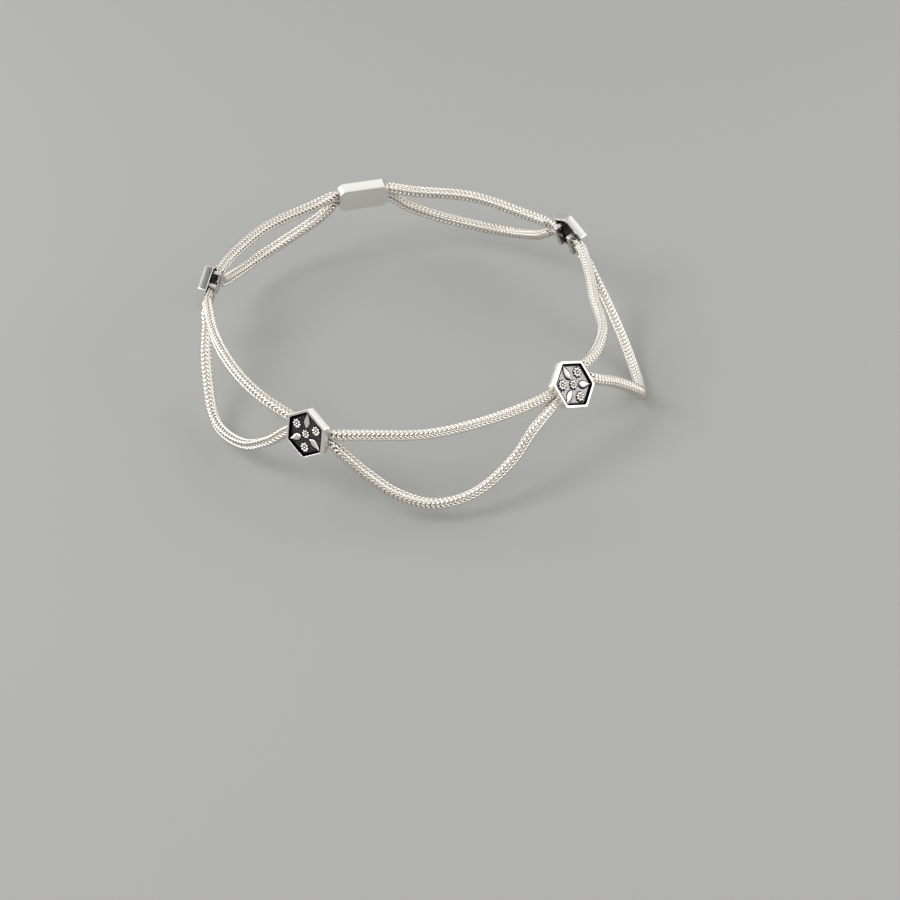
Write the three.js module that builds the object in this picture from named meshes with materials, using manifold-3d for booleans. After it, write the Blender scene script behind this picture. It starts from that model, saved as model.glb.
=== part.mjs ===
// Silver anklet: two strands of square foxtail chain gathered by hexagonal stations.
// Millimetres, +Z along the ankle, origin at the middle of the loop. Azimuth 0 is the front (-Y), 90 is +X.
import * as THREE from "three";
import { mergeVertices } from "three/addons/utils/BufferGeometryUtils.js";
import Module from "manifold-3d";

const wasm = await Module();
wasm.setup();

// Driving dimensions: the loop and the chain
const LOOP_RADIUS = 39; // ankle axis to the middle of the tight strand
const CHAIN_WIDTH = 1.95; // side of the square chain
const CHAIN_CORNER = 0.3; // how far each of its four corners is cut back
const CHAIN_STEPS = 26; // sections along one length of chain
const LENGTH_SAMPLES = 40; // steps in which each stretch of a route is measured
const MERGE = 1e-4; // corners nearer than this are one
const OVERCUT = 1; // how far a cutting solid runs past the face that it cuts

// The chain's ends, pressed flat where they go under a station
const END_WIDTH = 1.75;
const END_THICKNESS = 1.0;
const END_LENGTH = 2.8; // held length, from the station's flat inwards
const END_GAP = 0.3; // between the two ends in one mouth
const SHOULDER = 0.9; // length over which an end widens to the full chain
const CLEARANCE = 0.14; // round each end in its keeper

// The hexagonal station
const STATION_SIDES = 6;
const STATION_ACROSS = 8.7; // across the two flats that the chains leave by
const BOX_DEPTH = 1.6;
const WALL = 0.5;
const FACE_THICKNESS = 0.45; // the plate that carries the relief
const RECESS = 0.4; // from the rim down to the relief's ground
const RELIEF_HEIGHT = 0.3;
const KEEPER_WIDTH = 0.9; // along the chain
const KEEPER_THICKNESS = 0.3;

// The florets and leaves of the relief
const LEAF_DIRECTIONS = [90, 210, 330]; // degrees, each towards a corner, with a floret towards the next one
const FLORET_RADIUS = 1.0;
const FLORET_EYE = 0.26;
const FLORET_PETALS = 8;
const FLORETS_OUT = 0.53; // of the corner radius, from the middle to the three outer florets
const CENTRE_FLORET = 0.9; // of the size of the outer ones
const PETAL_NOTCH = 0.8; // of the floret's radius, where two petals meet
const EYE_HOLLOW = 1.75; // of the eye's radius, the hollow round it
const LEAF_LENGTH = 3.1;
const LEAF_WIDTH = 1.4;
const LEAF_BLADE = 0.6; // of the relief's height, below the rib
const LEAF_RIB = 0.28; // of the leaf's width
const MOTIF_GAP = 0.15; // leaf tips to the inside of the rim

// Half of a leaf's outline, from its base to its tip: shares of LEAF_LENGTH and of half of LEAF_WIDTH
const LEAF_EDGE = [
  { along: 0, aside: 0 },
  { along: 0.12, aside: 0.62 },
  { along: 0.34, aside: 1 },
  { along: 0.62, aside: 0.66 },
  { along: 1, aside: 0 },
];

// The plain clasp behind the ankle
const CLASP_LENGTH = 10;
const CLASP_WALL = 0.6;
const CLASP_CORNER = 0.8;

const SILVER = { color: 0xd9d6d0, roughness: 0.3, metalness: 1.0 };
const OXIDISED_SILVER = { color: 0xbdb9b2, roughness: 0.42, metalness: 1.0 };
const FOXTAIL_SILVER = { color: 0xe4e0d8, roughness: 0.4, metalness: 1.0 };

// How each piece of the ring stands: "out" and "high" are its radius and height as shares of LOOP_RADIUS.
// "facing" is the azimuth in degrees that its front looks to, "lean" tips the front up and "roll" lifts
// its right side.
const RING = [
  { name: "station_1", azimuth: -98.4, out: 0.984, high: -0.023, facing: -102, lean: 11, roll: 0 },
  { name: "station_2", azimuth: -25.1, out: 1.055, high: -0.038, facing: -40.8, lean: 15.3, roll: 6.3 },
  { name: "station_3", azimuth: 49.9, out: 0.985, high: -0.023, facing: 48.7, lean: 37.3, roll: 3.8 },
  { name: "station_4", azimuth: 125, out: 0.985, high: -0.023, facing: 125, lean: 16, roll: 0 },
  { name: "clasp", azimuth: 194, out: 0.985, high: -0.023, facing: 194, lean: 10, roll: 0 },
];

// The few chosen points of each strand between two pieces of the ring, in the order of RING:
// azimuth in degrees, radius and height as shares of LOOP_RADIUS, and how far the chain is turned
// on itself there, in degrees. The last span closes the loop.
const ROUTES = {
  upper: [
    [[-84, 0.98, 0.002, 16], [-76, 0.976, 0, 16], [-66, 0.98, 0, 4],
      [-53, 0.998, 0, 0], [-42, 1.019, -0.002, 0]],
    [[-11, 1.05, 0.001, 0], [5, 1.023, 0, 0], [19, 0.995, 0, 0], [32, 0.984, 0, 0]],
    [[64, 0.983, 0, 0], [70, 0.981, 0, 0], [77, 0.97, 0, 0], [84, 0.944, 0, 0],
      [92, 0.92, -0.003, 0], [106, 0.942, -0.008, 0]],
    [[142, 0.975, -0.01, 0], [160, 0.98, -0.01, 0], [178, 0.978, -0.015, 0]],
    [[210, 0.978, -0.015, 0], [228, 0.975, -0.01, 0], [246, 0.98, -0.01, 0]],
  ],
  swag: [
    [[-86, 0.995, -0.1, 18], [-79, 1.012, -0.165, 22], [-70, 1.038, -0.26, 22], [-63, 1.064, -0.325, 18],
      [-56, 1.078, -0.332, 15], [-46, 1.083, -0.285, 15], [-38, 1.074, -0.185, 6]],
    [[-10.5, 1.11, -0.175, 20], [-3, 1.133, -0.267, 22], [5.5, 1.148, -0.321, 14], [15.5, 1.133, -0.303, 0],
      [26, 1.095, -0.205, -14], [34, 1.05, -0.1, -10]],
    [[61, 1.052, -0.085, 0], [66, 1.088, -0.15, 0], [70.5, 1.146, -0.23, 0], [73.5, 1.178, -0.295, 0],
      [77, 1.178, -0.37, 0], [86, 1.142, -0.4, 0], [99, 1.09, -0.34, 0], [112, 1.045, -0.2, 0]],
    [[139, 1.02, -0.14, 0], [150, 1.045, -0.22, 0], [160, 1.05, -0.24, 0], [170, 1.035, -0.21, 0],
      [180, 1.01, -0.13, 0]],
    [[208, 1.01, -0.13, 0], [218, 1.035, -0.21, 0], [228, 1.045, -0.24, 0], [238, 1.035, -0.22, 0],
      [249, 1.01, -0.14, 0]],
  ],
};

// Sizes worked out from the ones above
const endOffset = (END_WIDTH + END_GAP) / 2; // each strand's end, up or down from the middle of a mouth
const apothem = STATION_ACROSS / 2;
const slant = Math.cos(Math.PI / STATION_SIDES); // flat to corner
const cornerRadius = apothem / slant;
const boxBack = END_THICKNESS / 2 + CLEARANCE; // out from the strands' middle
const boxFront = boxBack + BOX_DEPTH;
const keeperHalf = endOffset + END_WIDTH / 2 + CLEARANCE; // inside of a keeper, half its opening
const relief = boxFront - RECESS;

// Closed geometry to a solid, and back to a geometry
function solid(geometry) {
  const bare = geometry.index ? geometry.toNonIndexed() : geometry.clone();
  bare.deleteAttribute("normal");
  bare.deleteAttribute("uv");
  const merged = mergeVertices(bare, MERGE);
  return new wasm.Manifold(
    new wasm.Mesh({
      numProp: 3,
      vertProperties: new Float32Array(merged.attributes.position.array),
      triVerts: new Uint32Array(merged.index.array),
    }),
  );
}

function geometryOf(body) {
  const mesh = body.getMesh();
  const geometry = new THREE.BufferGeometry();
  geometry.setAttribute("position", new THREE.BufferAttribute(mesh.vertProperties, 3));
  geometry.setIndex(new THREE.BufferAttribute(mesh.triVerts, 1));
  geometry.computeVertexNormals();
  return geometry;
}

const join = (bodies) => bodies.reduce((whole, body) => whole.add(body));

// A flat shape raised from one height to another
function slab(shape, from, to) {
  const geometry = new THREE.ExtrudeGeometry(shape, { depth: to - from, bevelEnabled: false });
  return solid(geometry.translate(0, 0, from));
}

// A block given by its middle and its size
function block(middle, size) {
  return solid(new THREE.BoxGeometry(...size).translate(...middle));
}

// A hexagon with two corners on the ankle's line and two flats where the chains leave
function hexagon(inset) {
  const radius = cornerRadius - inset / slant;
  const corners = Array.from({ length: STATION_SIDES }, (_, i) => {
    const angle = Math.PI / 2 + (i * 2 * Math.PI) / STATION_SIDES;
    return new THREE.Vector2(radius * Math.cos(angle), radius * Math.sin(angle));
  });
  return new THREE.Shape(corners);
}

// A ring of petals round an eye: lobes outside, a plain hole inside and a dot in it
function floret(x, y, radius) {
  const outline = [];
  for (let i = 0; i < FLORET_PETALS * 2; i += 1) {
    const angle = (i * Math.PI) / FLORET_PETALS;
    const reach = i % 2 ? radius * PETAL_NOTCH : radius;
    outline.push(new THREE.Vector2(x + reach * Math.cos(angle), y + reach * Math.sin(angle)));
  }
  const shape = new THREE.Shape(outline);
  const ring = (size) =>
    Array.from({ length: FLORET_PETALS }, (_, i) => {
      const angle = (i * 2 * Math.PI) / FLORET_PETALS;
      return new THREE.Vector2(x + size * Math.cos(angle), y + size * Math.sin(angle));
    });
  shape.holes.push(new THREE.Path(ring(FLORET_EYE * EYE_HOLLOW)));
  const height = relief + RELIEF_HEIGHT;
  const sunk = relief - FACE_THICKNESS / 2;
  return slab(shape, sunk, height).add(slab(new THREE.Shape(ring(FLORET_EYE)), sunk, height));
}

// A pointed leaf lying outwards along one direction, with a raised rib and its tip near the rim
function leaf(angle) {
  const tip = cornerRadius - WALL / slant - MOTIF_GAP;
  const base = tip - LEAF_LENGTH;
  const half = LEAF_WIDTH / 2;
  const at = (along, aside) => {
    const out = base + along * LEAF_LENGTH;
    const cos = Math.cos(angle);
    const sin = Math.sin(angle);
    return new THREE.Vector2(out * cos - aside * half * sin, out * sin + aside * half * cos);
  };
  const outline = (share) => [
    ...LEAF_EDGE.map(({ along, aside }) => at(along, -aside * share)),
    ...LEAF_EDGE.slice(1, -1).reverse().map(({ along, aside }) => at(along, aside * share)),
  ];
  const sunk = relief - FACE_THICKNESS / 2;
  const blade = slab(new THREE.Shape(outline(1)), sunk, relief + RELIEF_HEIGHT * LEAF_BLADE);
  return blade.add(slab(new THREE.Shape(outline(LEAF_RIB)), sunk, relief + RELIEF_HEIGHT));
}

// A bridge across the back of a station, under which the tips of two ends lie
function keeper(side) {
  const middle = side * (apothem - END_LENGTH + KEEPER_WIDTH / 2);
  const outer = keeperHalf + KEEPER_THICKNESS;
  const under = -(boxBack + KEEPER_THICKNESS);
  const legTop = boxFront - RECESS - FACE_THICKNESS / 2;
  const legs = [-1, 1].map((way) => {
    const aside = way * (keeperHalf + KEEPER_THICKNESS / 2);
    return block([middle, aside, (under + legTop) / 2], [KEEPER_WIDTH, KEEPER_THICKNESS, legTop - under]);
  });
  const bar = block([middle, 0, under + KEEPER_THICKNESS / 2], [KEEPER_WIDTH, outer * 2, KEEPER_THICKNESS]);
  return join([bar, ...legs]);
}

// One station: a hexagonal cup, open at the back, with the relief sunk inside its rim
function station() {
  const cup = slab(hexagon(0), boxBack, boxFront);
  const well = slab(hexagon(WALL), relief, boxFront + OVERCUT);
  const hollow = slab(hexagon(WALL), boxBack - OVERCUT, relief - FACE_THICKNESS);
  const body = cup.subtract(well).subtract(hollow);
  const directions = LEAF_DIRECTIONS.map(THREE.MathUtils.degToRad);
  const flowers = directions.map((direction) => {
    const angle = direction + (2 * Math.PI) / STATION_SIDES;
    const out = cornerRadius * FLORETS_OUT;
    return floret(out * Math.cos(angle), out * Math.sin(angle), FLORET_RADIUS);
  });
  const centre = floret(0, 0, FLORET_RADIUS * CENTRE_FLORET);
  const leaves = directions.map((direction) => leaf(direction));
  return geometryOf(join([body, centre, ...flowers, ...leaves, keeper(-1), keeper(1)]));
}

// A rectangle given by half its sides, with each corner cut back
function cutRectangle(x, y, cut) {
  const corners = [
    [x, -y + cut],
    [x, y - cut],
    [x - cut, y],
    [-x + cut, y],
    [-x, y - cut],
    [-x, -y + cut],
    [-x + cut, -y],
    [x - cut, -y],
  ];
  return new THREE.Shape(corners.map((corner) => new THREE.Vector2(...corner)));
}

// The clasp: a plain rounded bar with a socket for each strand's end, closed and without a joint
function clasp() {
  const height = 2 * (keeperHalf + CLASP_WALL);
  const depth = 2 * (boxBack + CLASP_WALL);
  const x = CLASP_LENGTH / 2;
  let body = slab(cutRectangle(x, height / 2, CLASP_CORNER), -depth / 2, depth / 2);
  const deep = END_LENGTH + CLEARANCE;
  const socket = [deep + OVERCUT, END_WIDTH + END_GAP / 2, 2 * boxBack];
  for (const side of [-1, 1]) {
    for (const way of [-1, 1]) {
      const middle = side * (x - (deep - OVERCUT) / 2);
      body = body.subtract(block([middle, way * endOffset, 0], socket));
    }
  }
  return geometryOf(body);
}

// A point given by azimuth, radius and height
function onRing(azimuth, radius, height) {
  const angle = THREE.MathUtils.degToRad(azimuth);
  return new THREE.Vector3(radius * Math.sin(angle), -radius * Math.cos(angle), height);
}

// Where a piece of the ring stands: its own x runs along the chain, y up the ankle and z out of its front
function placement(row) {
  const [facing, lean, roll] = [row.facing, row.lean, row.roll].map(THREE.MathUtils.degToRad);
  const out = new THREE.Vector3(
    Math.sin(facing) * Math.cos(lean),
    -Math.cos(facing) * Math.cos(lean),
    Math.sin(lean),
  );
  const along = new THREE.Vector3(Math.cos(facing), Math.sin(facing), 0).applyAxisAngle(out, roll);
  const up = out.clone().cross(along);
  const matrix = new THREE.Matrix4().makeBasis(along, up, out);
  matrix.setPosition(onRing(row.azimuth, row.out * LOOP_RADIUS, row.high * LOOP_RADIUS));
  return { matrix, out, reach: row.name === "clasp" ? CLASP_LENGTH / 2 : apothem };
}

// One length of chain between two pieces: a straight bar of chain bent along its route,
// with one side turned out from the ankle and both ends pressed flat
function chainLength(from, to, waypoints, way) {
  const inside = (piece, side, depth) =>
    new THREE.Vector3(side * (piece.reach - depth), way * endOffset, 0).applyMatrix4(piece.matrix);
  const start = [inside(from, 1, END_LENGTH), inside(from, 1, -CLEARANCE)];
  const end = [inside(to, -1, -CLEARANCE), inside(to, -1, END_LENGTH)];
  const middle = waypoints.map(([azimuth, radius, height]) =>
    onRing(azimuth, radius * LOOP_RADIUS, height * LOOP_RADIUS),
  );
  const points = [...start, ...middle, ...end];
  const turns = [0, 0, ...waypoints.map((point) => THREE.MathUtils.degToRad(point[3])), 0, 0];
  const curve = new THREE.CatmullRomCurve3(points, false, "centripetal");
  curve.arcLengthDivisions = LENGTH_SAMPLES * (points.length - 1);
  const lengths = curve.getLengths();
  const reached = points.map((_, i) => lengths[i * LENGTH_SAMPLES]);
  const total = reached[reached.length - 1];
  const first = reached[1];
  const last = reached[reached.length - 2];

  // Stops along the route: the two straight ends, their shoulders and even steps between
  const stops = [0, first];
  const inner = CHAIN_STEPS - 4;
  for (let i = 0; i <= inner; i += 1) {
    stops.push(THREE.MathUtils.lerp(first + SHOULDER, last - SHOULDER, i / inner));
  }
  stops.push(last, total);

  // A straight bar of side and length 1, whose sections are then set on the stops
  const section = cutRectangle(0.5, 0.5, CHAIN_CORNER / CHAIN_WIDTH);
  const bar = { depth: 1, steps: CHAIN_STEPS, bevelEnabled: false };
  const geometry = new THREE.ExtrudeGeometry(section, bar);
  const position = geometry.attributes.position;
  const frames = stops.map((length, k) => {
    const at = curve.getPointAt(length / total);
    const out = from.out.clone().lerp(to.out, length / total);
    let along = curve.getTangentAt(length / total);
    if (k < 1) along = start[1].clone().sub(start[0]);
    if (k > CHAIN_STEPS - 1) along = end[1].clone().sub(end[0]);
    along.normalize();
    const before = Math.max(0, reached.findLastIndex((mark) => mark <= length));
    const after = Math.min(before + 1, reached.length - 1);
    const share = after > before ? (length - reached[before]) / (reached[after] - reached[before]) : 0;
    const turn = THREE.MathUtils.lerp(turns[before], turns[after], share);
    const side = out.cross(along).normalize().applyAxisAngle(along, turn);
    const pressed = k < 2 || k > CHAIN_STEPS - 2;
    return {
      at,
      side: side.clone().multiplyScalar(pressed ? END_WIDTH : CHAIN_WIDTH),
      out: along.clone().cross(side).multiplyScalar(pressed ? END_THICKNESS : CHAIN_WIDTH),
    };
  });
  for (let i = 0; i < position.count; i += 1) {
    const frame = frames[Math.round(position.getZ(i) * CHAIN_STEPS)];
    const bent = frame.at
      .clone()
      .addScaledVector(frame.side, position.getX(i))
      .addScaledVector(frame.out, position.getY(i));
    position.setXYZ(i, bent.x, bent.y, bent.z);
  }
  return geometryOf(solid(geometry));
}

const anklet = new THREE.Group();

function addMesh(name, geometry, finish) {
  const mesh = new THREE.Mesh(geometry, new THREE.MeshStandardMaterial(finish));
  mesh.name = name;
  anklet.add(mesh);
  return mesh;
}

const pieces = RING.map((row) => ({ row, ...placement(row) }));
for (const piece of pieces) {
  const mesh =
    piece.row.name === "clasp"
      ? addMesh(piece.row.name, clasp(), SILVER)
      : addMesh(piece.row.name, station(), OXIDISED_SILVER);
  mesh.applyMatrix4(piece.matrix);
}

pieces.forEach((piece, i) => {
  const next = pieces[(i + 1) % pieces.length];
  addMesh(`upper_chain_${i + 1}`, chainLength(piece, next, ROUTES.upper[i], 1), FOXTAIL_SILVER);
  addMesh(`swag_chain_${i + 1}`, chainLength(piece, next, ROUTES.swag[i], -1), FOXTAIL_SILVER);
});

export default anklet;
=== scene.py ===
# %% [markdown]
# # A silver anklet of foxtail chain
# The real anklet is a loop of square woven chain. Four hollow hexagonal stations and a clasp gather two
# strands of it: a tight one above and a longer one below that hangs in swags. The imported CAD model gives
# the size and place of every piece, so it is loaded first and its box is kept for the floor's height.

# %% Load the frame
import math

import bmesh
import bpy
import numpy as np
from mathutils import Matrix, Vector


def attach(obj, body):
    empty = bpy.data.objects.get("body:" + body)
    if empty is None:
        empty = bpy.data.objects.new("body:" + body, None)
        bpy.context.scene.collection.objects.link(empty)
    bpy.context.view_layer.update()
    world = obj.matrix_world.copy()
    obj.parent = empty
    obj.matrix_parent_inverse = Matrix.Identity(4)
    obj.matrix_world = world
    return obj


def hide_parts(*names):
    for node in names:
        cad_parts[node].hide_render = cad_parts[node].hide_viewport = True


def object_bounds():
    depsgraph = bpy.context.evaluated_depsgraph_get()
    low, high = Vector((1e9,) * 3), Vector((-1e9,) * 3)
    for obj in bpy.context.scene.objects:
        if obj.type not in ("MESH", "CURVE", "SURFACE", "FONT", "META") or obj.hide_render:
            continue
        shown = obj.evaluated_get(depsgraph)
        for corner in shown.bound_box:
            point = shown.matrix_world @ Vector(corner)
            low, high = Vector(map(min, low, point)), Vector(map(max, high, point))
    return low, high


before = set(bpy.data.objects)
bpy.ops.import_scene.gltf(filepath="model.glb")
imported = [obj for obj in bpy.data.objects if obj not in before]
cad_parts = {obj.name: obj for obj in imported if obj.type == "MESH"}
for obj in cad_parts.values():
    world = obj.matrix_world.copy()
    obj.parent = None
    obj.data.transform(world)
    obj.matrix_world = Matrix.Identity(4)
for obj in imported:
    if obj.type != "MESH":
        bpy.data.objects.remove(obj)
cad_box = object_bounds()
MM = 0.001
SHARP_FROM = math.radians(40)  # edges with a wider angle stay crisp


def in_mm(box):
    """The two corners of a box as six rounded millimetre values."""
    return [round(value / MM, 1) for corner in box for value in corner]


print("CAD nodes:", len(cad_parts), "box in mm:", in_mm(cad_box))

# %% [markdown]
# The camera looks down on the loop from the front. A long lens keeps the near and far sides alike in
# scale. Its shift places the middle of the loop left of and above the middle of the picture, so the
# camera itself doesn't have to turn and the loop keeps its true shape.

# %% Camera
PICTURE = 900  # pixels each way
SENSOR = 36.0  # mm
FOCAL_PIXELS = 2912
CAMERA_DISTANCE = 560 * MM
CAMERA_ELEVATION = math.radians(37)
LOOP_MIDDLE_PIXEL = (408.5, 302)

camera = bpy.data.objects.new("camera", bpy.data.cameras.new("camera"))
bpy.context.scene.collection.objects.link(camera)
bpy.context.scene.camera = camera
camera.data.sensor_width = SENSOR
camera.data.lens = SENSOR * FOCAL_PIXELS / PICTURE
camera.data.shift_x = 0.5 - LOOP_MIDDLE_PIXEL[0] / PICTURE
camera.data.shift_y = LOOP_MIDDLE_PIXEL[1] / PICTURE - 0.5
towards_camera = Vector((0, -math.cos(CAMERA_ELEVATION), math.sin(CAMERA_ELEVATION)))
camera.location = towards_camera * CAMERA_DISTANCE
camera.rotation_euler = (math.pi / 2 - CAMERA_ELEVATION, 0, 0)
print(f"camera lens {camera.data.lens:.1f} mm")

# %% [markdown]
# Two helpers serve every material and node tree. Colours are written as the sRGB hex values that a
# screen shows, and Blender computes in linear light, so one function turns them. The other adds a node,
# sets it and links it, which keeps each tree readable as a list of steps.


# %% Helpers for colours and nodes
def linear(hex_colour):
    """An sRGB colour such as "F2EFEA" as linear red, green, blue and alpha."""
    parts = [int(hex_colour[i : i + 2], 16) / 255 for i in (0, 2, 4)]
    return (*(p / 12.92 if p <= 0.04045 else ((p + 0.055) / 1.055) ** 2.4 for p in parts), 1)


def add_node(tree, kind, inputs=None, **settings):
    """Adds a node with its settings. An input is a plain value or the output that feeds it."""
    made = tree.nodes.new(kind)
    for name, value in settings.items():
        setattr(made, name, value)
    for name, value in (inputs or {}).items():
        if isinstance(value, bpy.types.NodeSocket):
            tree.links.new(value, made.inputs[name])
        else:
            made.inputs[name].default_value = value
    return made


def new_material(name):
    """An empty node material, its tree and its shader."""
    material = bpy.data.materials.new(name)
    material.use_nodes = True
    tree = material.node_tree
    tree.nodes.clear()
    shader = add_node(tree, "ShaderNodeBsdfPrincipled")
    add_node(tree, "ShaderNodeOutputMaterial", {"Surface": shader.outputs["BSDF"]})
    return material, tree, shader


def per_metre(size_mm):
    """The texture scale at which one cell or wave is this many millimetres."""
    return 1 / (size_mm * MM)


print("white is", linear("FFFFFF"))

# %% [markdown]
# Foxtail chain is drawn silver wire. Its outside is burnished bright. Every link carries an attribute that
# says how deep in the chain each stretch of its wire lies, and the material turns darker with it: painted
# shade for the light that doesn't reach into the gaps between the wires. A slow noise gives the faint
# warm film that worn silver has.


# %% Material: drawn silver wire
def silver_wire():
    material, tree, shader = new_material("drawn silver wire")
    inner = add_node(tree, "ShaderNodeAttribute", attribute_name="inner")
    place = add_node(tree, "ShaderNodeTexCoord")
    film = add_node(
        tree,
        "ShaderNodeTexNoise",
        {"Vector": place.outputs["Object"], "Scale": per_metre(2.2), "Detail": 3.0},
    )
    outside = add_node(
        tree,
        "ShaderNodeMix",
        {"Factor": film.outputs["Fac"], "A": linear("F1EDE6"), "B": linear("E7E0D5")},
        data_type="RGBA",
    )
    # painted shade: wire deep in the chain is mixed towards a dark warm brown
    gap_shade = add_node(tree, "ShaderNodeMapRange", {"Value": inner.outputs["Fac"], "From Min": 0.15})
    colour = add_node(
        tree,
        "ShaderNodeMix",
        {"Factor": gap_shade.outputs["Result"], "A": outside.outputs["Result"], "B": linear("3E382F")},
        data_type="RGBA",
    )
    dull = add_node(
        tree,
        "ShaderNodeMapRange",
        {"Value": inner.outputs["Fac"], "To Min": 0.24, "To Max": 0.5},
    )
    tree.links.new(colour.outputs["Result"], shader.inputs["Base Color"])
    tree.links.new(dull.outputs["Result"], shader.inputs["Roughness"])
    shader.inputs["Metallic"].default_value = 1.0
    return material


WIRE_SILVER = silver_wire()
print("made", WIRE_SILVER.name)

# %% [markdown]
# The stations are cast silver. Their rims and walls are polished, and the sunk ground is blackened with
# sulphide and then rubbed, so that only the raised flowers and leaves and the grain of the ground are
# bright again. An attribute of the mesh says how dark each place is. Most of it is that sulphide, but
# inside the hollow back, on the lower left of each motif and in each station's own ground tone it is
# painted shade and light. A fine cellular pattern with cells of a real size makes the punched grain of
# the ground.

# %% Material: cast silver with a blackened ground
GRAIN = 0.2  # mm, a punch mark of the ground; drawn a little coarse so that it shows


def cast_silver():
    material, tree, shader = new_material("cast silver, blackened and rubbed")
    # the sulphide's black, and painted shade inside the hollow, at motifs' lower left and in each ground's
    # tone
    tarnish_and_shade = add_node(tree, "ShaderNodeAttribute", attribute_name="tarnish_and_shade")
    place = add_node(tree, "ShaderNodeTexCoord")
    cells = add_node(
        tree,
        "ShaderNodeTexVoronoi",
        {"Vector": place.outputs["Object"], "Scale": per_metre(GRAIN)},
        feature="F1",
    )
    grain = add_node(
        tree,
        "ShaderNodeMapRange",
        {"Value": cells.outputs["Distance"], "From Min": 0.1, "From Max": 0.6},
    )
    ground = add_node(
        tree,
        "ShaderNodeMix",
        {"Factor": grain.outputs["Result"], "A": linear("BDBABA"), "B": linear("5E5A5F")},
        data_type="RGBA",
    )
    ground_mix = add_node(tree, "ShaderNodeMapRange", {"Value": tarnish_and_shade.outputs["Fac"], "From Max": 0.5})
    darkened = add_node(
        tree,
        "ShaderNodeMapRange",
        {"Value": tarnish_and_shade.outputs["Fac"], "From Min": 0.5, "From Max": 0.88},
    )
    bright = add_node(
        tree,
        "ShaderNodeMix",
        {"Factor": ground_mix.outputs["Result"], "A": linear("F7F4F0"), "B": ground.outputs["Result"]},
        data_type="RGBA",
    )
    colour = add_node(
        tree,
        "ShaderNodeMix",
        {"Factor": darkened.outputs["Result"], "A": bright.outputs["Result"], "B": linear("050404")},
        data_type="RGBA",
    )
    roughness = add_node(
        tree,
        "ShaderNodeMapRange",
        {"Value": tarnish_and_shade.outputs["Fac"], "To Min": 0.2, "To Max": 0.5},
    )
    relief = add_node(
        tree,
        "ShaderNodeMath",
        {0: ground_mix.outputs["Result"], 1: grain.outputs["Result"]},
        operation="MULTIPLY",
    )
    bump = add_node(
        tree,
        "ShaderNodeBump",
        {"Height": relief.outputs["Value"], "Distance": 0.04 * MM, "Strength": 0.8},
        invert=True,
    )
    tree.links.new(colour.outputs["Result"], shader.inputs["Base Color"])
    tree.links.new(roughness.outputs["Result"], shader.inputs["Roughness"])
    tree.links.new(bump.outputs["Normal"], shader.inputs["Normal"])
    shader.inputs["Metallic"].default_value = 1.0
    return material


STATION_SILVER = cast_silver()
print("made", STATION_SILVER.name)

# %% [markdown]
# The clasp is plain polished silver. Polishing leaves very fine hairlines, which a stretched noise in the
# roughness and a shallow bump show.

# %% Material: polished silver sheet
HAIRLINE = 0.12  # mm across a polishing line
HAIRLINE_LENGTH = 3.0  # mm along it


def polished_silver():
    material, tree, shader = new_material("polished silver")
    place = add_node(tree, "ShaderNodeTexCoord")
    stretched = add_node(
        tree,
        "ShaderNodeMapping",
        {"Vector": place.outputs["Object"], "Scale": (HAIRLINE / HAIRLINE_LENGTH, 1, 1)},
    )
    lines = add_node(
        tree,
        "ShaderNodeTexNoise",
        {"Vector": stretched.outputs["Vector"], "Scale": per_metre(HAIRLINE), "Detail": 2.0},
    )
    roughness = add_node(
        tree,
        "ShaderNodeMapRange",
        {"Value": lines.outputs["Fac"], "To Min": 0.14, "To Max": 0.3},
    )
    bump = add_node(
        tree,
        "ShaderNodeBump",
        {"Height": lines.outputs["Fac"], "Distance": 0.01 * MM, "Strength": 0.4},
    )
    tree.links.new(roughness.outputs["Result"], shader.inputs["Roughness"])
    tree.links.new(bump.outputs["Normal"], shader.inputs["Normal"])
    shader.inputs["Base Color"].default_value = linear("F5F2ED")
    shader.inputs["Metallic"].default_value = 1.0
    return material


CLASP_SILVER = polished_silver()
print("made", CLASP_SILVER.name)

# %% [markdown]
# These are the anklet's own sizes, in millimetres, and the ring of pieces that the strands run between.
# They are the same named values as in the CAD source, so every visual piece falls exactly on the solid
# that it stands for. A row places a piece by its azimuth (0 is the front, 90 the right), its radius and
# height as shares of the loop's radius, and the three angles in which it is turned.

# %% Sizes and the ring of pieces
LOOP_RADIUS = 39
CHAIN_WIDTH = 1.95
END_WIDTH = 1.75
END_THICKNESS = 1.0
END_LENGTH = 2.8
END_GAP = 0.3
SHOULDER = 0.9
CLEARANCE = 0.14
STATION_SIDES = 6
STATION_ACROSS = 8.7
BOX_DEPTH = 1.6
WALL = 0.5
FACE_THICKNESS = 0.45
RECESS = 0.4
RELIEF_HEIGHT = 0.3
CLASP_LENGTH = 10

RING = [  # name, azimuth, out, high, facing, lean and roll
    ("station_1", -98.4, 0.984, -0.023, -102, 11, 0),
    ("station_2", -25.1, 1.055, -0.038, -40.8, 15.3, 6.3),
    ("station_3", 49.9, 0.985, -0.023, 48.7, 37.3, 3.8),
    ("station_4", 125, 0.985, -0.023, 125, 16, 0),
    ("clasp", 194, 0.985, -0.023, 194, 10, 0),
]

apothem = STATION_ACROSS / 2
slant = math.cos(math.pi / STATION_SIDES)
corner_radius = apothem / slant
end_offset = (END_WIDTH + END_GAP) / 2
box_back = END_THICKNESS / 2 + CLEARANCE
box_front = box_back + BOX_DEPTH
relief_ground = box_front - RECESS


def on_ring(azimuth, out, high):
    """A point on the loop, in millimetres."""
    angle = math.radians(azimuth)
    return Vector((out * math.sin(angle), -out * math.cos(angle), high)) * LOOP_RADIUS


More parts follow.
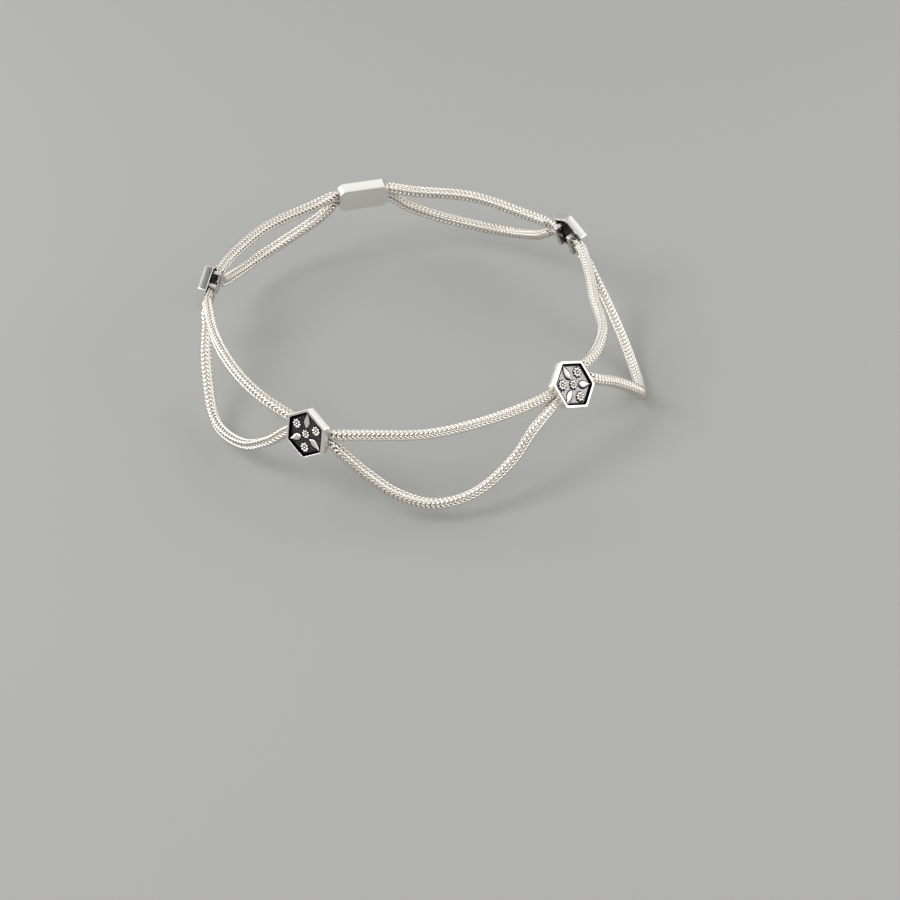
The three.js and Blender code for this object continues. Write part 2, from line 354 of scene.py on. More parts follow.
def placement(name, azimuth, out_share, high, *turned):
    """A piece's own frame: x runs along the strands, y up the ankle and z out of its front."""
    facing, lean, roll = (math.radians(angle) for angle in turned)
    out = Vector((math.sin(facing) * math.cos(lean), -math.cos(facing) * math.cos(lean), math.sin(lean)))
    along = Matrix.Rotation(roll, 3, out) @ Vector((math.cos(facing), math.sin(facing), 0))
    up = out.cross(along)
    matrix = Matrix((along, up, out)).transposed().to_4x4()
    matrix.translation = on_ring(azimuth, out_share, high)
    reach = CLASP_LENGTH / 2 if name == "clasp" else apothem
    return {"name": name, "matrix": matrix, "out": out, "reach": reach}


pieces_of_ring = [placement(*row) for row in RING]
print("pieces of the ring:", [piece["name"] for piece in pieces_of_ring])

# %% [markdown]
# A strand goes through a few chosen points between two pieces of the ring, on a centripetal Catmull-Rom
# curve, which passes through every point and doesn't loop or overshoot. The last value of each row turns
# the square chain on itself, because a real one twists a little as it hangs. These are the CAD source's
# own rows.

# %% Routes of the strands
UPPER_ROUTES = [
    [[-84, 0.98, 0.002, 16], [-76, 0.976, 0, 16], [-66, 0.98, 0, 4],
     [-53, 0.998, 0, 0], [-42, 1.019, -0.002, 0]],
    [[-11, 1.05, 0.001, 0], [5, 1.023, 0, 0], [19, 0.995, 0, 0], [32, 0.984, 0, 0]],
    [[64, 0.983, 0, 0], [70, 0.981, 0, 0], [77, 0.97, 0, 0], [84, 0.944, 0, 0],
     [92, 0.92, -0.003, 0], [106, 0.942, -0.008, 0]],
    [[142, 0.975, -0.01, 0], [160, 0.98, -0.01, 0], [178, 0.978, -0.015, 0]],
    [[210, 0.978, -0.015, 0], [228, 0.975, -0.01, 0], [246, 0.98, -0.01, 0]],
]
SWAG_ROUTES = [
    [[-86, 0.995, -0.1, 18], [-79, 1.012, -0.165, 22], [-70, 1.038, -0.26, 22], [-63, 1.064, -0.325, 18],
     [-56, 1.078, -0.332, 15], [-46, 1.083, -0.285, 15], [-38, 1.074, -0.185, 6]],
    [[-10.5, 1.11, -0.175, 20], [-3, 1.133, -0.267, 22], [5.5, 1.148, -0.321, 14], [15.5, 1.133, -0.303, 0],
     [26, 1.095, -0.205, -14], [34, 1.05, -0.1, -10]],
    [[61, 1.052, -0.085, 0], [66, 1.088, -0.15, 0], [70.5, 1.146, -0.23, 0], [73.5, 1.178, -0.295, 0],
     [77, 1.178, -0.37, 0], [86, 1.142, -0.4, 0], [99, 1.09, -0.34, 0], [112, 1.045, -0.2, 0]],
    [[139, 1.02, -0.14, 0], [150, 1.045, -0.22, 0], [160, 1.05, -0.24, 0], [170, 1.035, -0.21, 0],
     [180, 1.01, -0.13, 0]],
    [[208, 1.01, -0.13, 0], [218, 1.035, -0.21, 0], [228, 1.045, -0.24, 0], [238, 1.035, -0.22, 0],
     [249, 1.01, -0.14, 0]],
]
STRETCH_SAMPLES = 40


def smooth_curve(points):
    """Dense points on the centripetal Catmull-Rom curve through the given ones."""
    points = [np.array(point) for point in points]
    padded = [2 * points[0] - points[1], *points, 2 * points[-1] - points[-2]]
    shares = np.linspace(0, 1, STRETCH_SAMPLES, endpoint=False)[:, None]
    dense = []
    for before, start, end, after in zip(padded, padded[1:], padded[2:], padded[3:]):
        steps = [math.sqrt(np.linalg.norm(b - a)) for a, b in ((before, start), (start, end), (end, after))]
        into, within, beyond = steps
        leave = (start - before) / into - (end - before) / (into + within) + (end - start) / within
        arrive = (end - start) / within - (after - start) / (within + beyond) + (after - end) / beyond
        leave, arrive = leave * within, arrive * within
        square = -3 * start + 3 * end - 2 * leave - arrive
        cube = 2 * start - 2 * end + leave + arrive
        dense.append(start + leave * shares + square * shares**2 + cube * shares**3)
    return np.vstack([*dense, points[-1]])


def strand_route(start, end, waypoints, way):
    """Positions, sideways directions and girth shares along one length of chain."""
    mouths = []
    for piece, side in ((start, 1), (end, -1)):
        for depth in (END_LENGTH, -CLEARANCE):
            inside = Vector((side * (piece["reach"] - depth), way * end_offset, 0))
            mouths.append(piece["matrix"] @ inside)
    points = [*mouths[:2], *(on_ring(*row[:3]) for row in waypoints), mouths[3], mouths[2]]
    turns = [0, 0, *(math.radians(row[3]) for row in waypoints), 0, 0]
    places = smooth_curve(points)
    reached = np.concatenate([[0], np.cumsum(np.linalg.norm(np.diff(places, axis=0), axis=1))])
    marks = reached[::STRETCH_SAMPLES]
    total = reached[-1]

    share = (reached / total)[:, None]
    out = np.array(start["out"]) * (1 - share) + np.array(end["out"]) * share
    along = np.gradient(places, axis=0)
    along /= np.linalg.norm(along, axis=1)[:, None]
    side = np.cross(out, along)
    side /= np.linalg.norm(side, axis=1)[:, None]
    turn = np.interp(reached, marks, turns)[:, None]
    side = side * np.cos(turn) + np.cross(along, side) * np.sin(turn)

    full = np.minimum(reached - marks[1], marks[-2] - reached) / SHOULDER
    full = np.clip(full, 0, 1)[:, None]
    pressed = np.array([END_WIDTH / CHAIN_WIDTH, END_THICKNESS / CHAIN_WIDTH, 1])
    girth = pressed * (1 - full) + full
    return {"places": places, "side": side, "girth": girth, "reached": reached}


strands = {}
for i, piece in enumerate(pieces_of_ring):
    following = pieces_of_ring[(i + 1) % len(pieces_of_ring)]
    strands[f"upper_chain_{i + 1}"] = strand_route(piece, following, UPPER_ROUTES[i], 1)
    strands[f"swag_chain_{i + 1}"] = strand_route(piece, following, SWAG_ROUTES[i], -1)
for name, strand in strands.items():
    print(name, "is", round(float(strand["reached"][-1]), 1), "mm long")

# %% [markdown]
# One foxtail link is a ring of wire pinched in the middle and folded up into a cradle with two loops.
# The next link of the same direction is threaded through both loops and folded up in its turn, and links
# of the other direction cross them at right angles in between. On each face of the chain that leaves a
# column of V's, and at each edge a row of bright bends. A link is the same a thousand times, so its path
# is a short table for one quarter of it, which is mirrored twice: how far out towards its face, how far
# aside, and how far along the chain.

# %% The path of one foxtail link
LINK_STEP = 0.43  # mm from one link to the next, which is turned a quarter
WIRE = 0.49  # mm, the wire's diameter
WIRE_SIDES = 6
LINK_QUARTER = [  # shares of half the chain's width, and for "along" of its width
    {"out": 0.36, "aside": 0.20, "along": 0.02},
    {"out": 0.64, "aside": 0.16, "along": 0.02},
    {"out": 0.77, "aside": 0.16, "along": 0.10},
    {"out": 0.79, "aside": 0.37, "along": 0.25},
    {"out": 0.76, "aside": 0.60, "along": 0.39},
    {"out": 0.62, "aside": 0.65, "along": 0.48},
    {"out": 0.60, "aside": 0.34, "along": 0.70},
]
LINK_TOP = {"out": 0.61, "aside": 0.0, "along": 0.80}


def new_object(name, places, edges=(), faces=()):
    """A mesh object at the origin, given in metres."""
    mesh = bpy.data.meshes.new(name)
    mesh.from_pydata(places, edges, faces)
    made = bpy.data.objects.new(name, mesh)
    bpy.context.scene.collection.objects.link(made)
    return made


def link_path():
    """The closed path of one link, as a loop of edges."""
    side = [(row, 1) for row in LINK_QUARTER]
    side += [(LINK_TOP, 0)]
    side += [(row, -1) for row in reversed(LINK_QUARTER)]
    half = CHAIN_WIDTH / 2 * MM
    places = [
        (face * row["out"] * half, face * way * row["aside"] * half, row["along"] * 2 * half)
        for face in (1, -1)
        for row, way in side
    ]
    count = len(places)
    return new_object("link path", places, [(i, (i + 1) % count) for i in range(count)])


LINK_PATH = link_path()
print("path points of a link:", len(LINK_PATH.data.vertices))

# %% [markdown]
# Geometry Nodes weave the chain. The tree thickens the link's path into wire, steps along the strand,
# sets a link on each step and turns every other one a quarter. The strand carries a direction that says
# which way its side looks and a girth, so that the links narrow where the chain's ends are pressed flat
# to go under a station. Both kinds of links take their length from the same strand, so they interlock.


# %% The tree that weaves the chain
def weaving_tree():
    tree = bpy.data.node_groups.new("foxtail weave", "GeometryNodeTree")
    face = tree.interface
    face.new_socket("Geometry", in_out="INPUT", socket_type="NodeSocketGeometry")
    face.new_socket("Link path", in_out="INPUT", socket_type="NodeSocketObject")
    face.new_socket("Link step", in_out="INPUT", socket_type="NodeSocketFloat")
    face.new_socket("Wire radius", in_out="INPUT", socket_type="NodeSocketFloat")
    face.new_socket("Wire sides", in_out="INPUT", socket_type="NodeSocketInt")
    face.new_socket("Burnished from", in_out="INPUT", socket_type="NodeSocketFloat")
    face.new_socket("Dark below", in_out="INPUT", socket_type="NodeSocketFloat")
    face.new_socket("Wire material", in_out="INPUT", socket_type="NodeSocketMaterial")
    face.new_socket("Geometry", in_out="OUTPUT", socket_type="NodeSocketGeometry")
    given = add_node(tree, "NodeGroupInput").outputs

    path = add_node(tree, "GeometryNodeObjectInfo", {"Object": given["Link path"]})
    path_curve = add_node(tree, "GeometryNodeMeshToCurve", {"Mesh": path.outputs["Geometry"]})
    section = add_node(
        tree,
        "GeometryNodeCurvePrimitiveCircle",
        {"Resolution": given["Wire sides"], "Radius": given["Wire radius"]},
    )
    wire = add_node(
        tree,
        "GeometryNodeCurveToMesh",
        {"Curve": path_curve.outputs["Curve"], "Profile Curve": section.outputs["Curve"]},
    )
    place = add_node(tree, "GeometryNodeInputPosition")
    parts = add_node(tree, "ShaderNodeSeparateXYZ", {"Vector": place.outputs["Position"]})
    across = add_node(tree, "ShaderNodeMath", {0: parts.outputs["X"]}, operation="ABSOLUTE")
    aside = add_node(tree, "ShaderNodeMath", {0: parts.outputs["Y"]}, operation="ABSOLUTE")
    out = add_node(
        tree,
        "ShaderNodeMath",
        {0: across.outputs["Value"], 1: aside.outputs["Value"]},
        operation="MAXIMUM",
    )
    # how deep a point lies in the chain, which the wire material turns into painted shade
    depth = add_node(
        tree,
        "ShaderNodeMapRange",
        {
            "Value": out.outputs["Value"],
            "From Min": given["Burnished from"],
            "From Max": given["Dark below"],
        },
    )
    link = add_node(
        tree,
        "GeometryNodeStoreNamedAttribute",
        {"Geometry": wire.outputs["Mesh"], "Name": "inner", "Value": depth.outputs["Result"]},
        data_type="FLOAT",
        domain="POINT",
    )
    turned = add_node(
        tree,
        "GeometryNodeTransform",
        {"Geometry": link.outputs["Geometry"], "Rotation": (0, 0, math.pi / 2)},
    )

    strand = add_node(tree, "GeometryNodeMeshToCurve", {"Mesh": given["Geometry"]})
    steps = add_node(
        tree,
        "GeometryNodeResampleCurve",
        {"Curve": strand.outputs["Curve"], "Length": given["Link step"]},
        mode="LENGTH",
    )
    tangent = add_node(tree, "GeometryNodeInputTangent")
    side = add_node(tree, "GeometryNodeInputNamedAttribute", {"Name": "side"}, data_type="FLOAT_VECTOR")
    girth = add_node(tree, "GeometryNodeInputNamedAttribute", {"Name": "girth"}, data_type="FLOAT_VECTOR")
    turn = add_node(
        tree,
        "FunctionNodeAxesToRotation",
        {"Primary Axis": tangent.outputs["Tangent"], "Secondary Axis": side.outputs["Attribute"]},
        primary_axis="Z",
        secondary_axis="X",
    )
    index = add_node(tree, "GeometryNodeInputIndex")
    odd = add_node(tree, "ShaderNodeMath", {0: index.outputs["Index"], 1: 2.0}, operation="MODULO")
    even = add_node(tree, "ShaderNodeMath", {0: 1.0, 1: odd.outputs["Value"]}, operation="SUBTRACT")
    joined = add_node(tree, "GeometryNodeJoinGeometry")
    for chosen, kind in ((even, link), (odd, turned)):
        placed = add_node(
            tree,
            "GeometryNodeInstanceOnPoints",
            {
                "Points": steps.outputs["Curve"],
                "Selection": chosen.outputs["Value"],
                "Instance": kind.outputs["Geometry"],
                "Rotation": turn.outputs["Rotation"],
                "Scale": girth.outputs["Attribute"],
            },
        )
        tree.links.new(placed.outputs["Instances"], joined.inputs["Geometry"])
    real = add_node(tree, "GeometryNodeRealizeInstances", {"Geometry": joined.outputs["Geometry"]})
    smooth = add_node(tree, "GeometryNodeSetShadeSmooth", {"Geometry": real.outputs["Geometry"]})
    dressed = add_node(
        tree,
        "GeometryNodeSetMaterial",
        {"Geometry": smooth.outputs["Geometry"], "Material": given["Wire material"]},
    )
    add_node(tree, "NodeGroupOutput", {"Geometry": dressed.outputs["Geometry"]})
    return tree


WEAVE = weaving_tree()
print("nodes in the weaving tree:", len(WEAVE.nodes))

# %% [markdown]
# Each length of chain gets a strand to weave on: a line of points a little shorter than the solid, since
# a link stands forward of its point. The result is turned into a plain mesh and takes the place of the
# CAD solid, which stays behind for collisions.

# %% Weave the ten lengths of chain
START_GAP = 0.2  # mm from the solid's first end to the first link's point
LINK_SPARE = 0.1  # of the chain's width, room for the wire itself
LINK_LENGTH = (LINK_TOP["along"] + LINK_SPARE) * CHAIN_WIDTH  # mm that the last link stands forward
UNSHADED_FROM = 0.92  # of half the chain's width: wire further out than this gets no painted shade
DARK = 0.6  # and wire deeper than this gets the full painted shade


def weave(name, strand):
    reached = strand["reached"]
    used = (reached >= START_GAP) & (reached <= reached[-1] - LINK_LENGTH)
    places = strand["places"][used] * MM
    line = new_object(name + " strand", places.tolist(), [(i, i + 1) for i in range(len(places) - 1)])
    for key in ("side", "girth"):
        values = np.ascontiguousarray(strand[key][used], dtype=np.float32).ravel()
        line.data.attributes.new(key, "FLOAT_VECTOR", "POINT").data.foreach_set("vector", values)
    modifier = line.modifiers.new("weave", "NODES")
    modifier.node_group = WEAVE
    values = {
        "Link path": LINK_PATH,
        "Link step": LINK_STEP * MM,
        "Wire radius": WIRE / 2 * MM,
        "Wire sides": WIRE_SIDES,
        "Burnished from": UNSHADED_FROM * CHAIN_WIDTH / 2 * MM,
        "Dark below": DARK * CHAIN_WIDTH / 2 * MM,
        "Wire material": WIRE_SILVER,
    }
    for item in WEAVE.interface.items_tree:
        if item.in_out == "INPUT" and item.name in values:
            modifier[item.identifier] = values[item.name]
    bpy.context.view_layer.update()
    evaluated = line.evaluated_get(bpy.context.evaluated_depsgraph_get())
    mesh = bpy.data.meshes.new_from_object(evaluated)
    bpy.data.objects.remove(line)
    made = bpy.data.objects.new(name + "_links", mesh)
    bpy.context.scene.collection.objects.link(made)
    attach(made, "root")
    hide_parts(name)
    return made


chains = [weave(name, strand) for name, strand in strands.items()]
bpy.data.objects.remove(LINK_PATH)
triangles = sum(len(polygon.vertices) - 2 for made in chains for polygon in made.data.polygons)
print("lengths of chain:", len(chains), "triangles:", triangles)

# %% [markdown]
# A station is a hollow hexagonal cup. All of it can be seen as rings round one middle: the relief's
# ground, the inside of the wall, the rounded rim, the outer wall, and then the back of the plate. So it
# is made as hexagonal rings of points that share their angles, which gives one closed skin. The relief
# on the ground is a height worked out for each point, from flowers with eight domed petals round an eye
# and roof-shaped leaves with a sharp ridge.

# %% Flowers and leaves as heights
FLORET_RADIUS = 1.0
FLORETS_OUT = 0.53
CENTRE_FLORET = 0.9
FLORET_PETALS = 8
PETAL_PLACE = 0.66  # of the floret's radius
PETAL_LONG = 0.34  # half a petal's length, of the same
PETAL_WIDE = 0.26  # half its width
EYE = 0.26
LEAF_DIRECTIONS = [90, 210, 330]
LEAF_LENGTH = 3.1
LEAF_WIDTH = 1.4
MOTIF_GAP = 0.15
LEAF_FULLEST = 0.7  # below 1 moves a leaf's widest place towards its foot
LEAF_POINTED = 1.2  # above 1 draws its tip out
LEAF_FOOT = 0.35  # height near a leaf's edge, as a share of its ridge's
LEAF_EDGE_FALL = 0.3  # how far inside its outline a leaf would reach full height
LEAF_SLOPE = 1.2  # 1 makes the slopes of its roof straight, and more rounds them a little


def dome(far):
    """Height share of a dome, by the share of its radius that a point is out."""
    return np.sqrt(np.clip(1 - far**2, 0, 1))


def floret(x, y, radius):
    """Height share of a flower about the origin."""
    angle = np.arctan2(y, x)
    out = np.hypot(x, y) / radius
    petal = 2 * math.pi / FLORET_PETALS
    aside = (angle + petal / 2) % petal - petal / 2
    along = out * np.cos(aside) - PETAL_PLACE
    petals = dome(np.hypot(along / PETAL_LONG, out * np.sin(aside) / PETAL_WIDE))
    return np.maximum(petals, dome(out / EYE))


def leaf(x, y, direction):
    """Height share of a leaf that points outwards along a direction in radians."""
    tip = corner_radius - WALL / slant - MOTIF_GAP
    out = x * math.cos(direction) + y * math.sin(direction)
    aside = np.abs(y * math.cos(direction) - x * math.sin(direction))
    along = (out - tip + LEAF_LENGTH) / LEAF_LENGTH
    within = (along > 0) & (along < 1)
    along = np.clip(along, 0, 1)
    half = np.abs(np.sin(math.pi * along**LEAF_FULLEST)) ** LEAF_POINTED * LEAF_WIDTH / 2
    share = aside / np.maximum(half, 1e-6)
    roof = np.minimum(1 - (1 - LEAF_FOOT) * share**LEAF_SLOPE, (1 - share) / LEAF_EDGE_FALL)
    return np.where(within, np.maximum(roof, 0), 0)


def relief_share(x, y):
    """Height of the relief above its ground, as a share of RELIEF_HEIGHT."""
    heights = [floret(x, y, FLORET_RADIUS * CENTRE_FLORET)]
    for degrees in LEAF_DIRECTIONS:
        direction = math.radians(degrees)
        heights.append(leaf(x, y, direction))
        angle = direction + math.pi / len(LEAF_DIRECTIONS)
        out = corner_radius * FLORETS_OUT
        heights.append(floret(x - out * math.cos(angle), y - out * math.sin(angle), FLORET_RADIUS))
    return np.max(heights, axis=0)


print("height share at the middle of the relief:", float(relief_share(np.zeros(1), np.zeros(1))[0]))

# %% [markdown]
# The rings. On the ground they step evenly inwards. The rim's rings follow a rounded profile, given as
# how far in from the outside and how high. The corners of the outer hexagon are crisp and those of the
# inner one a little rounder, as a file leaves them.

# %% The skin of a station
AROUND = 420  # points in a ring
GROUND_RINGS = 84  # from the wall to the middle of the face
BACK_RINGS = 4
EDGE = 0.1  # mm, the rounding of the rim's edges
EDGE_MIDDLE = 0.3  # of that, where the middle of the rounding lies
WALL_FOOT = 0.3  # of the relief's height, where the inside of the wall begins
BACK_EDGE = 0.05
CRISP = 80  # the higher, the sharper the corners
SOFT = 34
BLACK_BAND = 0.5  # mm of ground beside the wall that stays black
MOTIF_SHADE = 0.13  # mm round each motif that stays black
MOTIF_BLACK = 0.92  # how black it is there
SHADE_WAYS = [(1, 0), (-1, 0), (0, 1), (0, -1), (2, 1.2)]  # the last reaches further: painted shade at each motif's lower left
SHADE_RISE = 0.3  # of the relief's height, over which that black sets in
MOTIF_RISE = 0.12  # of the relief's height, over which the ground's tone ends
FOOT_BLACK = 0.75  # black at a motif's foot
FOOT_RUBBED = 1.3  # how fast rubbing has taken it off upwards
RIM_TARNISH = 0.3  # on the rim's inner edge
MOUTH_SHADE = 0.4  # painted shade at the open back
HOLLOW_SHADE = 0.6  # painted shade on the back of the plate, inside the hollow
CORNER_SHADE = 0.8  # deeper painted shade where that meets the wall


def hexagon_radius(angles, crispness):
    """Distance from the middle to a hexagon of apothem 1 with slightly rounded corners."""
    flats = np.arange(STATION_SIDES) * 2 * math.pi / STATION_SIDES
    toward = np.clip(np.cos(angles[:, None] - flats[None, :]), 0, 1)
    return 1 / np.sum(toward**crispness, axis=1) ** (1 / crispness)


def station_rings():
    """Rows of inset from the outer wall, height, corner crispness and darkness, from the middle of the face
    over the rim to the middle of the back. The darkness is tarnish on the rim and painted shade inside
    the hollow. The ground's rows have no height of their own."""
    hollow = relief_ground - FACE_THICKNESS
    inside = WALL
    step = (apothem - inside) / GROUND_RINGS
    rows = [(apothem - step * (i + 1), None, SOFT, 0) for i in range(GROUND_RINGS)]
    rows += [
        (inside, relief_ground + RELIEF_HEIGHT * WALL_FOOT, SOFT, 1),
        (inside, box_front - EDGE * (1 + EDGE_MIDDLE), SOFT, 1),
        (inside - EDGE * EDGE_MIDDLE, box_front - EDGE * EDGE_MIDDLE, SOFT, RIM_TARNISH),
        (inside - EDGE, box_front, SOFT, 0),
        (EDGE, box_front, CRISP, 0),
        (EDGE * EDGE_MIDDLE, box_front - EDGE * EDGE_MIDDLE, CRISP, 0),
        (0, box_front - EDGE, CRISP, 0),
        (0, box_back + BACK_EDGE, CRISP, 0),
        (BACK_EDGE, box_back, CRISP, 0),
        (WALL - BACK_EDGE, box_back, CRISP, 0),
        (WALL, box_back + BACK_EDGE, CRISP, MOUTH_SHADE),
        (WALL, hollow, CRISP, CORNER_SHADE),
    ]
    for i in range(1, BACK_RINGS):
        rows.append((WALL + (apothem - WALL) * i / BACK_RINGS, hollow, CRISP, HOLLOW_SHADE))
    return rows


def ground_tone(x, y, inset, share):
    """How black the face is at each point, and how far the ground's own tone shows there."""
    # the black all round a motif is sulphide at its foot; the longer reach to the lower left is painted
    # shade
    around = [relief_share(x + dx * MOTIF_SHADE, y + dy * MOTIF_SHADE) for dx, dy in SHADE_WAYS]
    beside = np.clip(np.max(around, axis=0) / SHADE_RISE, 0, MOTIF_BLACK)
    wall = 1 - min(1, (inset - WALL) / BLACK_BAND) ** 3
    shade = np.maximum(beside, wall)
    motif = np.clip(share / MOTIF_RISE, 0, 1)
    foot = np.clip(FOOT_BLACK - FOOT_RUBBED * share, 0, 1)
    return shade * (1 - motif) + foot * motif, (1 - shade) * (1 - motif)


def station_skin():
    """Points and faces of one station in its own frame, in millimetres, with each point's black and the
    share in which it takes the tone of its station's ground."""
    angles = np.arange(AROUND) * 2 * math.pi / AROUND
    places, black, bare = [(0, 0, relief_ground + RELIEF_HEIGHT)], [0.0], [0.0]
    for inset, height, crispness, tarnish_and_shade in station_rings():
        radius = hexagon_radius(angles, crispness) * (apothem - inset)
        x, y = radius * np.cos(angles), radius * np.sin(angles)
        if height is None:
            share = relief_share(x, y)
            z = relief_ground + RELIEF_HEIGHT * share
            darkened, own = ground_tone(x, y, inset, share)
        else:
            z = np.full(AROUND, height)
            darkened, own = np.full(AROUND, tarnish_and_shade), np.zeros(AROUND)
        places += list(zip(x, y, z))
        black += list(darkened)
        bare += list(own)
    places.append((0, 0, relief_ground - FACE_THICKNESS))
    black.append(HOLLOW_SHADE)
    bare.append(0.0)

    rings = (len(places) - 2) // AROUND
    faces = [(0, 1 + i, 1 + (i + 1) % AROUND) for i in range(AROUND)]
    for ring in range(rings - 1):
        first = 1 + ring * AROUND
        for i in range(AROUND):
            following = (i + 1) % AROUND
            faces.append((first + i, first + AROUND + i, first + AROUND + following, first + following))
    last = 1 + (rings - 1) * AROUND
    faces += [(last + (i + 1) % AROUND, last + i, len(places) - 1) for i in range(AROUND)]
    return places, faces, np.array(black), np.array(bare)


skin_places, skin_faces, skin_black, skin_bare = station_skin()
print("station points:", len(skin_places), "faces:", len(skin_faces))

# %% [markdown]
# Two keepers cross the back of each station and hold the tips of the strands' pressed ends. Each is a
# flat strip bent like a staple, so its outline in the plane across the strands is drawn once, with
# rounded outer bends, and given its width along the strands.

# %% The keepers at the back
KEEPER_WIDTH = 0.9
KEEPER_THICKNESS = 0.3
KEEPER_BEND = 0.3  # mm, the radius of the outer bends
BEND_STEPS = 5
KEEPER_TARNISH = 0.2  # a little, as the back isn't polished

keeper_half = end_offset + END_WIDTH / 2 + CLEARANCE


def keeper_outline():
    """The staple's closed outline, across the strands and outwards."""
    foot = relief_ground - FACE_THICKNESS / 2
    outer = keeper_half + KEEPER_THICKNESS
    under = -(box_back + KEEPER_THICKNESS)
    bend = []
    for i in range(BEND_STEPS + 1):
        angle = i / BEND_STEPS * math.pi / 2
        across = outer - KEEPER_BEND * (1 - math.sin(angle))
        bend.append((across, under + KEEPER_BEND * (1 - math.cos(angle))))
    right = [*bend, (outer, foot), (keeper_half, foot), (keeper_half, -box_back)]
    left = [(-across, out) for across, out in reversed(right)]
    return right + left


def keeper_strip(side):
    """Points and faces of one keeper in the station's frame, in millimetres."""
    outline = keeper_outline()
    count = len(outline)
    middle = side * (apothem - END_LENGTH + KEEPER_WIDTH / 2)
    places = [(middle + way * KEEPER_WIDTH / 2, *point) for way in (-1, 1) for point in outline]
    faces = [(i, (i + 1) % count, count + (i + 1) % count, count + i) for i in range(count)]
    return places, [*faces, tuple(range(count))[::-1], tuple(range(count, 2 * count))]


print("points in a keeper's outline:", len(keeper_outline()))

# %% [markdown]
# One skin and two keepers make a station. The four stations differ only in where they stand and in how
# dark their ground is painted, which stands in for the light and shade that falls on each. The finished
# mesh is moved into its place in the shared frame, since the object itself has to stay at the origin.


# %% The four stations
# the differences between stations are painted light and shade: station_2 darker, station_3 lighter
GROUND_TONE_AND_SHADE = {"station_1": 0.5, "station_2": 0.74, "station_3": 0.43, "station_4": 0.5}


def outward(mesh):
    """Triangulates what isn't a quad and turns every face outwards."""
    shape = bmesh.new()
    shape.from_mesh(mesh)
    bmesh.ops.triangulate(shape, faces=[f for f in shape.faces if len(f.verts) > 4])
    bmesh.ops.recalc_face_normals(shape, faces=shape.faces)
    shape.to_mesh(mesh)
    shape.free()


def place_mesh(mesh, piece):
    """Moves a mesh from a piece's own frame in millimetres to the shared frame in metres."""
    mesh.transform(Matrix.Diagonal((MM, MM, MM, 1)) @ piece["matrix"])


def make_station(piece):
    places, faces = list(skin_places), list(skin_faces)
    # the skin's tarnish and painted shade, with each station's painted ground tone
    tarnish_and_shade = list(skin_black + skin_bare * GROUND_TONE_AND_SHADE[piece["name"]])
    for side in (-1, 1):
        strip_places, strip_faces = keeper_strip(side)
        first = len(places)
        places += strip_places
        tarnish_and_shade += [KEEPER_TARNISH] * len(strip_places)
        faces += [tuple(first + corner for corner in face) for face in strip_faces]
    made = new_object(piece["name"] + "_cast", places, (), faces)
    made.data.attributes.new("tarnish_and_shade", "FLOAT", "POINT").data.foreach_set("value", tarnish_and_shade)
    outward(made.data)
    made.data.shade_smooth()
    made.data.set_sharp_from_angle(angle=SHARP_FROM)
    place_mesh(made.data, piece)
    made.data.materials.append(STATION_SILVER)
    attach(made, "root")
    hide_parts(piece["name"])
    return made


stations = [make_station(piece) for piece in pieces_of_ring if piece["name"] != "clasp"]
print("stations:", [made.name for made in stations])

# %% [markdown]
# The clasp is out of sight behind the ankle, so it is a plain closed bar with a socket for each end. Its
# solid already has the right shape, and only lacks the softness that polishing gives to an edge. A copy
# of the solid is merged, its flat faces are joined again, and its edges are bevelled.

# %% The clasp
CLASP_EDGE = 0.22  # mm


def make_clasp():
    made = bpy.data.objects.new("clasp_bar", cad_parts["clasp"].data.copy())
    bpy.context.scene.collection.objects.link(made)
    shape = bmesh.new()
    shape.from_mesh(made.data)
    bmesh.ops.remove_doubles(shape, verts=shape.verts, dist=1e-3 * MM)
    bmesh.ops.dissolve_limit(shape, angle_limit=math.radians(1), verts=shape.verts, edges=shape.edges)
    bmesh.ops.recalc_face_normals(shape, faces=shape.faces)
    bmesh.ops.bevel(
        shape,
        geom=shape.edges,
        offset=CLASP_EDGE * MM,
        segments=3,
        profile=0.6,
        affect="EDGES",
        clamp_overlap=True,
    )
    bmesh.ops.triangulate(shape, faces=[f for f in shape.faces if len(f.verts) > 4])
    shape.to_mesh(made.data)
    shape.free()
    made.data.shade_smooth()
    made.data.set_sharp_from_angle(angle=SHARP_FROM)
    made.data.materials.clear()
    made.data.materials.append(CLASP_SILVER)
    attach(made, "root")
    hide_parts("clasp")
    return made


clasp = make_clasp()
print("clasp faces:", len(clasp.data.polygons))

# %% [markdown]
# The set is plain: a pale floor just under the lowest swag and soft light. Silver shows only what
# surrounds it, so the surroundings are mostly bright, with a dark patch right overhead. A large soft light
# at the upper left throws the shadows to the right, and a weaker card on each side brightens the walls.

# %% Floor and light
FLOOR_GAP = 0.2 * MM
FLOOR_SIZE = 6.0  # metres
DOME_HORIZON = 0.42  # brightness at the horizon
DOME_TOP = 1.0  # and high up
DOME_OVERHEAD = 0.1  # share of that left in the patch right overhead


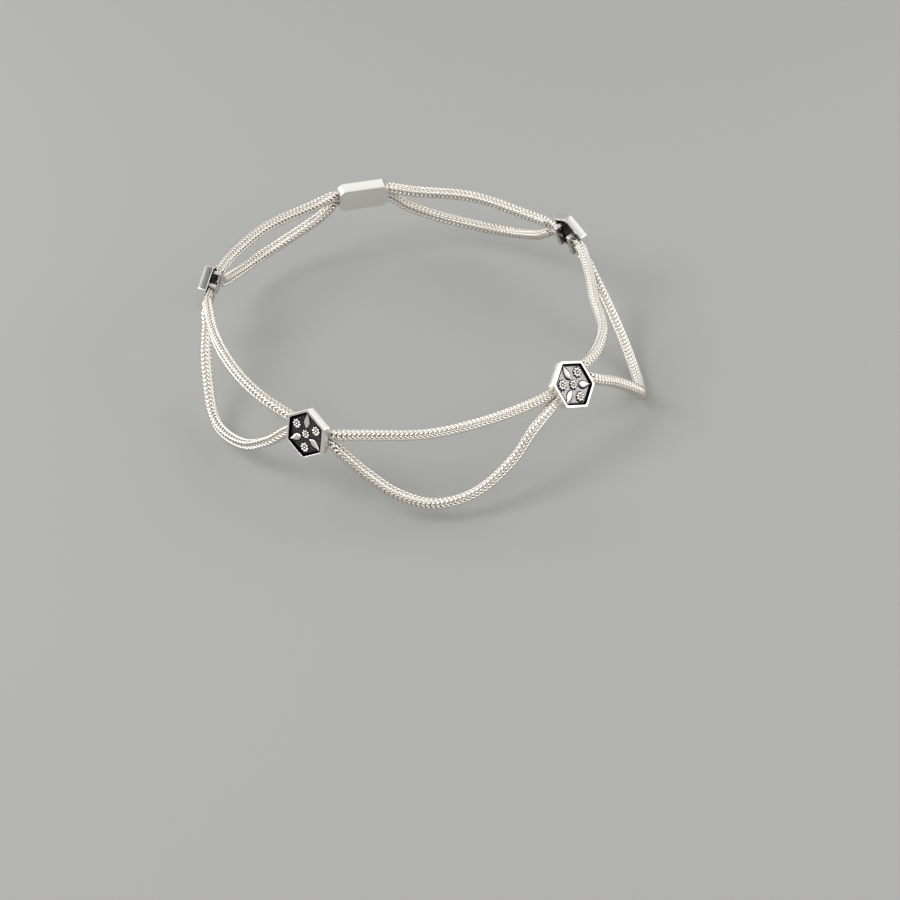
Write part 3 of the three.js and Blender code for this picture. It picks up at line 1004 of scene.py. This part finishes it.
def make_floor():
    material, tree, shader = new_material("pale grey paper")
    shader.inputs["Base Color"].default_value = linear("A0A09E")
    shader.inputs["Roughness"].default_value = 0.9
    half, height = FLOOR_SIZE / 2, cad_box[0].z - FLOOR_GAP
    floor = new_object(
        "floor",
        [(-half, -half, height), (half, -half, height), (half, half, height), (-half, half, height)],
        (),
        [(0, 1, 2, 3)],
    )
    floor.data.materials.append(material)
    return floor


def soft_light(name, azimuth, elevation, distance, size, power):
    """A square area light that looks at the loop's middle."""
    light = bpy.data.objects.new(name, bpy.data.lights.new(name, "AREA"))
    bpy.context.scene.collection.objects.link(light)
    light.data.size = size
    light.data.energy = power
    a, e = math.radians(azimuth), math.radians(elevation)
    back = Vector((math.sin(a) * math.cos(e), -math.cos(a) * math.cos(e), math.sin(e)))
    light.location = back * distance
    light.rotation_euler = (-back).to_track_quat("-Z", "Y").to_euler()
    light.visible_camera = False
    return light


def studio_dome():
    """Surroundings that grow brighter upwards, with a dark patch right overhead where no light hangs."""
    world = bpy.data.worlds.new("studio")
    bpy.context.scene.world = world
    world.use_nodes = True
    tree = world.node_tree
    direction = add_node(tree, "ShaderNodeTexCoord")
    parts = add_node(tree, "ShaderNodeSeparateXYZ", {"Vector": direction.outputs["Generated"]})
    strength = add_node(
        tree,
        "ShaderNodeMapRange",
        {"Value": parts.outputs["Z"], "From Max": 0.7, "To Min": DOME_HORIZON, "To Max": DOME_TOP},
    )
    overhead = add_node(
        tree,
        "ShaderNodeMapRange",
        {
            "Value": parts.outputs["Z"],
            "From Min": 0.93,
            "From Max": 0.98,
            "To Min": 1.0,
            "To Max": DOME_OVERHEAD,
        },
    )
    whole = add_node(
        tree,
        "ShaderNodeMath",
        {0: strength.outputs["Result"], 1: overhead.outputs["Result"]},
        operation="MULTIPLY",
    )
    background = tree.nodes["Background"]
    background.inputs["Color"].default_value = linear("FFFFFF")
    tree.links.new(whole.outputs["Value"], background.inputs["Strength"])


make_floor()
studio_dome()
soft_light("key light", azimuth=-65, elevation=48, distance=0.7, size=0.3, power=1.6)
soft_light("left card", azimuth=-105, elevation=8, distance=0.3, size=0.2, power=0.35)
soft_light("right card", azimuth=88, elevation=20, distance=0.4, size=0.35, power=0.65)
bpy.context.scene.view_settings.view_transform = "Standard"
print("floor at mm:", round((cad_box[0].z - FLOOR_GAP) / MM, 2))
